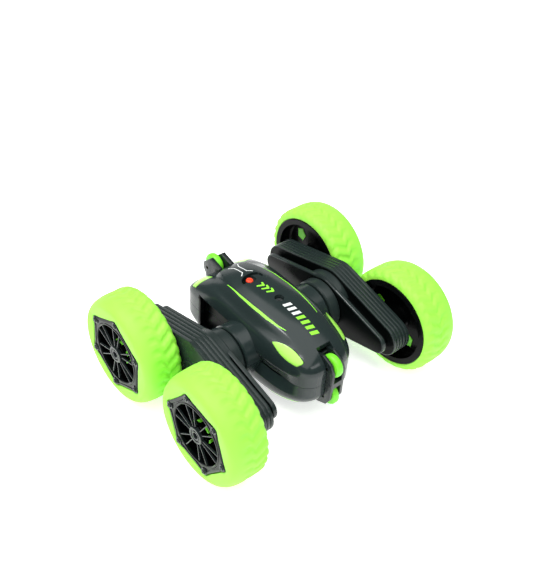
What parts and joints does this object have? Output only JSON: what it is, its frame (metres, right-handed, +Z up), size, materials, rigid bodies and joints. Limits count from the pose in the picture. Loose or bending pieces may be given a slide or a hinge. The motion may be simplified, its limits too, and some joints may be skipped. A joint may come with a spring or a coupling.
{
  "type": "rc stunt car",
  "caption": "Double-sided radio-controlled stunt car: a domed body swings between two geared arms that carry large soft-tyred wheels.",
  "frame": {"origin": "on the floor, under the middle of the arm pivot axis", "axes": "+Z up, the nose towards -Y, the car's left side towards +X"},
  "size_m": [0.1824, 0.15, 0.07],
  "materials": {
    "lime_tyre": "matt moulded soft rubber",
    "lime_roller": "satin moulded plastic",
    "lamp_lens": "satin translucent lens",
    "wheel_black": "semi-gloss moulded plastic",
    "arm_black": "gloss moulded plastic",
    "shell_black": "gloss moulded plastic with printed stripes",
    "bracket_black": "satin moulded plastic",
    "gear_white": "natural acetal",
    "steel": "bright steel",
    "knob_red": "satin moulded plastic",
    "battery_wrap": "shrink wrap",
    "board_green": "solder mask"
  },
  "bodies": {
    "car_body": {"upper_shell": "shell_black", "lower_shell": "shell_black", "body_screw": "steel", "upper_front_lens": "lamp_lens", "lower_front_lens": "lamp_lens", "upper_rear_lens": "lamp_lens", "lower_rear_lens": "lamp_lens", "front_bracket": "bracket_black", "rear_bracket": "bracket_black", "power_switch": "steel", "battery_pack": "battery_wrap", "circuit_board": "board_green", "motor_left": "steel", "motor_right": "steel", "pivot_bush_left": "gear_white", "pivot_bush_right": "gear_white"},
    "arm_left": {"arm_frame_left": "arm_black", "arm_cover_left": "arm_black", "pivot_hub_left": "arm_black"},
    "wheel_front_left": {"tyre_front_left": "lime_tyre", "rim_front_left": "wheel_black", "face_plate_front_left": "wheel_black", "axle_front_left": "steel", "wheel_gear_front_left": "gear_white"},
    "wheel_rear_left": {"tyre_rear_left": "lime_tyre", "rim_rear_left": "wheel_black", "face_plate_rear_left": "wheel_black", "axle_rear_left": "steel", "wheel_gear_rear_left": "gear_white"},
    "sun_left": {"sun_gear_left": "gear_white", "output_shaft_left": "steel"},
    "idler_front_left": {"idler_front_left": "gear_white"},
    "idler_rear_left": {"idler_rear_left": "gear_white"},
    "clutch_left": {"clutch_gear_left": "gear_white"},
    "pinion_left": {"motor_pinion_left": "gear_white"},
    "arm_right": {"arm_frame_right": "arm_black", "arm_cover_right": "arm_black", "pivot_hub_right": "arm_black"},
    "wheel_front_right": {"tyre_front_right": "lime_tyre", "rim_front_right": "wheel_black", "face_plate_front_right": "wheel_black", "axle_front_right": "steel", "wheel_gear_front_right": "gear_white"},
    "wheel_rear_right": {"tyre_rear_right": "lime_tyre", "rim_rear_right": "wheel_black", "face_plate_rear_right": "wheel_black", "axle_rear_right": "steel", "wheel_gear_rear_right": "gear_white"},
    "sun_right": {"sun_gear_right": "gear_white", "output_shaft_right": "steel"},
    "idler_front_right": {"idler_front_right": "gear_white"},
    "idler_rear_right": {"idler_rear_right": "gear_white"},
    "clutch_right": {"clutch_gear_right": "gear_white"},
    "pinion_right": {"motor_pinion_right": "gear_white"},
    "roller_front_upper": {"roller_front_upper": "lime_roller"},
    "roller_front_lower": {"roller_front_lower": "lime_roller"},
    "roller_rear_upper": {"roller_rear_upper": "lime_roller"},
    "roller_rear_lower": {"roller_rear_lower": "lime_roller"},
    "power_switch_knob": {"power_switch_knob": "knob_red"}
  },
  "joints": [
    {"name": "arm_swing_left", "type": "hinge", "parent": "car_body", "child": "arm_left", "pos_m": [0.032, 0, 0.035], "axis": [1, 0, 0], "continuous": true},
    {"name": "wheel_spin_front_left", "type": "hinge", "parent": "arm_left", "child": "wheel_front_left", "pos_m": [0.0772, -0.04, 0.035], "axis": [1, 0, 0], "continuous": true},
    {"name": "wheel_spin_rear_left", "type": "hinge", "parent": "arm_left", "child": "wheel_rear_left", "pos_m": [0.0772, 0.04, 0.035], "axis": [1, 0, 0], "continuous": true},
    {"name": "sun_spin_left", "type": "hinge", "parent": "arm_left", "child": "sun_left", "pos_m": [0.054, 0, 0.035], "axis": [1, 0, 0], "continuous": true},
    {"name": "idler_spin_front_left", "type": "hinge", "parent": "arm_left", "child": "idler_front_left", "pos_m": [0.054, -0.02, 0.035], "axis": [1, 0, 0], "continuous": true},
    {"name": "idler_spin_rear_left", "type": "hinge", "parent": "arm_left", "child": "idler_rear_left", "pos_m": [0.054, 0.02, 0.035], "axis": [1, 0, 0], "continuous": true},
    {"name": "clutch_spin_left", "type": "hinge", "parent": "car_body", "child": "clutch_left", "pos_m": [0.0272, 0, 0.035], "axis": [1, 0, 0], "continuous": true},
    {"name": "pinion_spin_left", "type": "hinge", "parent": "car_body", "child": "pinion_left", "pos_m": [0.0272, -0.0112, 0.035], "axis": [1, 0, 0], "continuous": true},
    {"name": "arm_swing_right", "type": "hinge", "parent": "car_body", "child": "arm_right", "pos_m": [-0.032, 0, 0.035], "axis": [1, 0, 0], "continuous": true},
    {"name": "wheel_spin_front_right", "type": "hinge", "parent": "arm_right", "child": "wheel_front_right", "pos_m": [-0.0772, -0.04, 0.035], "axis": [1, 0, 0], "continuous": true},
    {"name": "wheel_spin_rear_right", "type": "hinge", "parent": "arm_right", "child": "wheel_rear_right", "pos_m": [-0.0772, 0.04, 0.035], "axis": [1, 0, 0], "continuous": true},
    {"name": "sun_spin_right", "type": "hinge", "parent": "arm_right", "child": "sun_right", "pos_m": [-0.054, 0, 0.035], "axis": [1, 0, 0], "continuous": true},
    {"name": "idler_spin_front_right", "type": "hinge", "parent": "arm_right", "child": "idler_front_right", "pos_m": [-0.054, -0.02, 0.035], "axis": [1, 0, 0], "continuous": true},
    {"name": "idler_spin_rear_right", "type": "hinge", "parent": "arm_right", "child": "idler_rear_right", "pos_m": [-0.054, 0.02, 0.035], "axis": [1, 0, 0], "continuous": true},
    {"name": "clutch_spin_right", "type": "hinge", "parent": "car_body", "child": "clutch_right", "pos_m": [-0.0272, 0, 0.035], "axis": [1, 0, 0], "continuous": true},
    {"name": "pinion_spin_right", "type": "hinge", "parent": "car_body", "child": "pinion_right", "pos_m": [-0.0272, -0.0112, 0.035], "axis": [1, 0, 0], "continuous": true},
    {"name": "roller_spin_front_upper", "type": "hinge", "parent": "car_body", "child": "roller_front_upper", "pos_m": [0, -0.054, 0.0465], "axis": [1, 0, 0], "continuous": true},
    {"name": "roller_spin_front_lower", "type": "hinge", "parent": "car_body", "child": "roller_front_lower", "pos_m": [0, -0.054, 0.0235], "axis": [1, 0, 0], "continuous": true},
    {"name": "roller_spin_rear_upper", "type": "hinge", "parent": "car_body", "child": "roller_rear_upper", "pos_m": [0, 0.0588, 0.0495], "axis": [1, 0, 0], "continuous": true},
    {"name": "roller_spin_rear_lower", "type": "hinge", "parent": "car_body", "child": "roller_rear_lower", "pos_m": [0, 0.0588, 0.0205], "axis": [1, 0, 0], "continuous": true},
    {"name": "power_switch_slide", "type": "slide", "parent": "car_body", "child": "power_switch_knob", "axis": [1, 0, 0], "range_m": [0, 0.004]}
  ],
  "couplings": [
    {"joint": "wheel_spin_rear_left", "follows": "wheel_spin_front_left", "ratio": 1},
    {"joint": "sun_spin_left", "follows": "wheel_spin_front_left", "ratio": 1},
    {"joint": "idler_spin_front_left", "follows": "wheel_spin_front_left", "ratio": -0.75},
    {"joint": "idler_spin_rear_left", "follows": "wheel_spin_front_left", "ratio": -0.75},
    {"joint": "clutch_spin_left", "follows": "wheel_spin_front_left", "ratio": 1},
    {"joint": "pinion_spin_left", "follows": "wheel_spin_front_left", "ratio": -2.5},
    {"joint": "wheel_spin_rear_right", "follows": "wheel_spin_front_right", "ratio": 1},
    {"joint": "sun_spin_right", "follows": "wheel_spin_front_right", "ratio": 1},
    {"joint": "idler_spin_front_right", "follows": "wheel_spin_front_right", "ratio": -0.75},
    {"joint": "idler_spin_rear_right", "follows": "wheel_spin_front_right", "ratio": -0.75},
    {"joint": "clutch_spin_right", "follows": "wheel_spin_front_right", "ratio": 1},
    {"joint": "pinion_spin_right", "follows": "wheel_spin_front_right", "ratio": -2.5}
  ]
}
